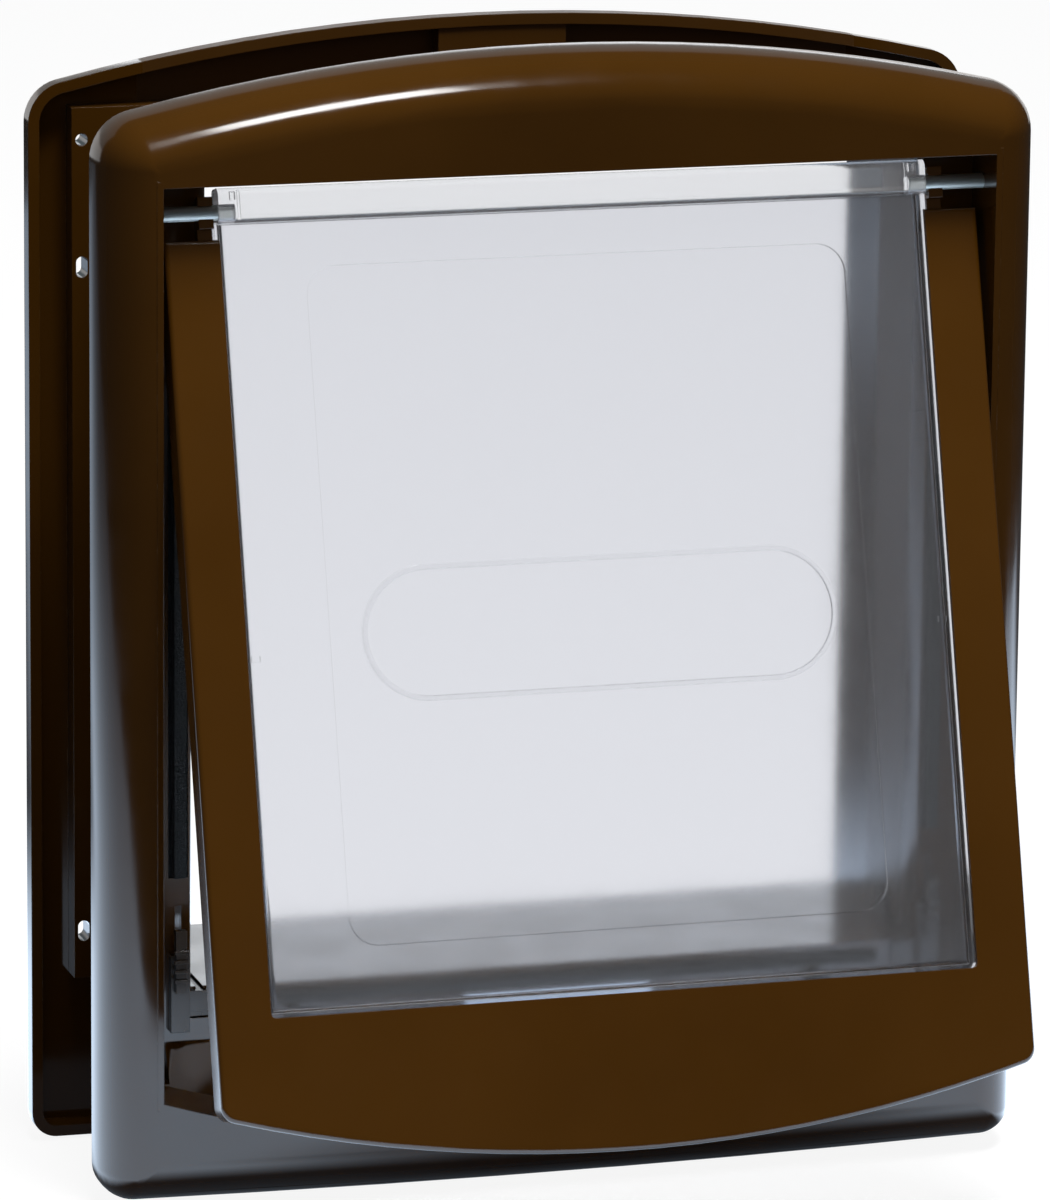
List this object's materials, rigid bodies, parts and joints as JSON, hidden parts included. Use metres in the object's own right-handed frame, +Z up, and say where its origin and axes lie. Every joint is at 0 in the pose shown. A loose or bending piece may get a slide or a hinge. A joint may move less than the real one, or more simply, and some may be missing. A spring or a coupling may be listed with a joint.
{
  "type": "dog flap",
  "caption": "Two-way dog flap: clear flap on two pins inside a brown U-shaped flap with arched foot, between two arched frames joined by a telescoping tunnel.",
  "frame": {"origin": "centre of the four fixing screws, on the outer face of the door where the front frame's rear meets it", "axes": "+Y points through the door into the room, +Z up, +X to the right seen from outside"},
  "size_m": [0.3008, 0.1658, 0.3523],
  "materials": {
    "brown_plastic": "glossy",
    "dark_plastic": "satin",
    "clear_plastic": "frosted clear",
    "pin_steel": "satin",
    "keeper_steel": "plated",
    "magnet": "ferrite",
    "pile": "brushed pile",
    "buffer_rubber": "matt"
  },
  "bodies": {
    "frame": {"front_frame": "brown_plastic", "back_frame": "brown_plastic", "hinge_pin_left": "pin_steel", "hinge_pin_right": "pin_steel", "pile_seal_left": "pile", "pile_seal_right": "pile", "pile_seal_bottom": "pile", "magnet_keeper": "keeper_steel", "closing_buffers": "buffer_rubber"},
    "outer_flap": {"flap_surround": "brown_plastic", "surround_magnet": "magnet"},
    "inner_flap": {"flap_panel": "clear_plastic"},
    "left_lock": {"lock_slide_left": "dark_plastic"},
    "right_lock": {"lock_slide_right": "dark_plastic"}
  },
  "joints": [
    {"name": "outer_flap_swing", "type": "hinge", "parent": "frame", "child": "outer_flap", "pos_m": [0, -0.0114, 0.1347], "axis": [-1, 0, 0], "range_deg": [-15.8, 64.2]},
    {"name": "inner_flap_swing", "type": "hinge", "parent": "outer_flap", "child": "inner_flap", "pos_m": [0, -0.0114, 0.1347], "axis": [1, 0, 0], "range_deg": [0, 85]},
    {"name": "left_lock_slide", "type": "slide", "parent": "frame", "child": "left_lock", "axis": [0, 0, 1], "range_m": [0, 0.01]},
    {"name": "right_lock_slide", "type": "slide", "parent": "frame", "child": "right_lock", "axis": [0, 0, 1], "range_m": [0, 0.01]}
  ]
}
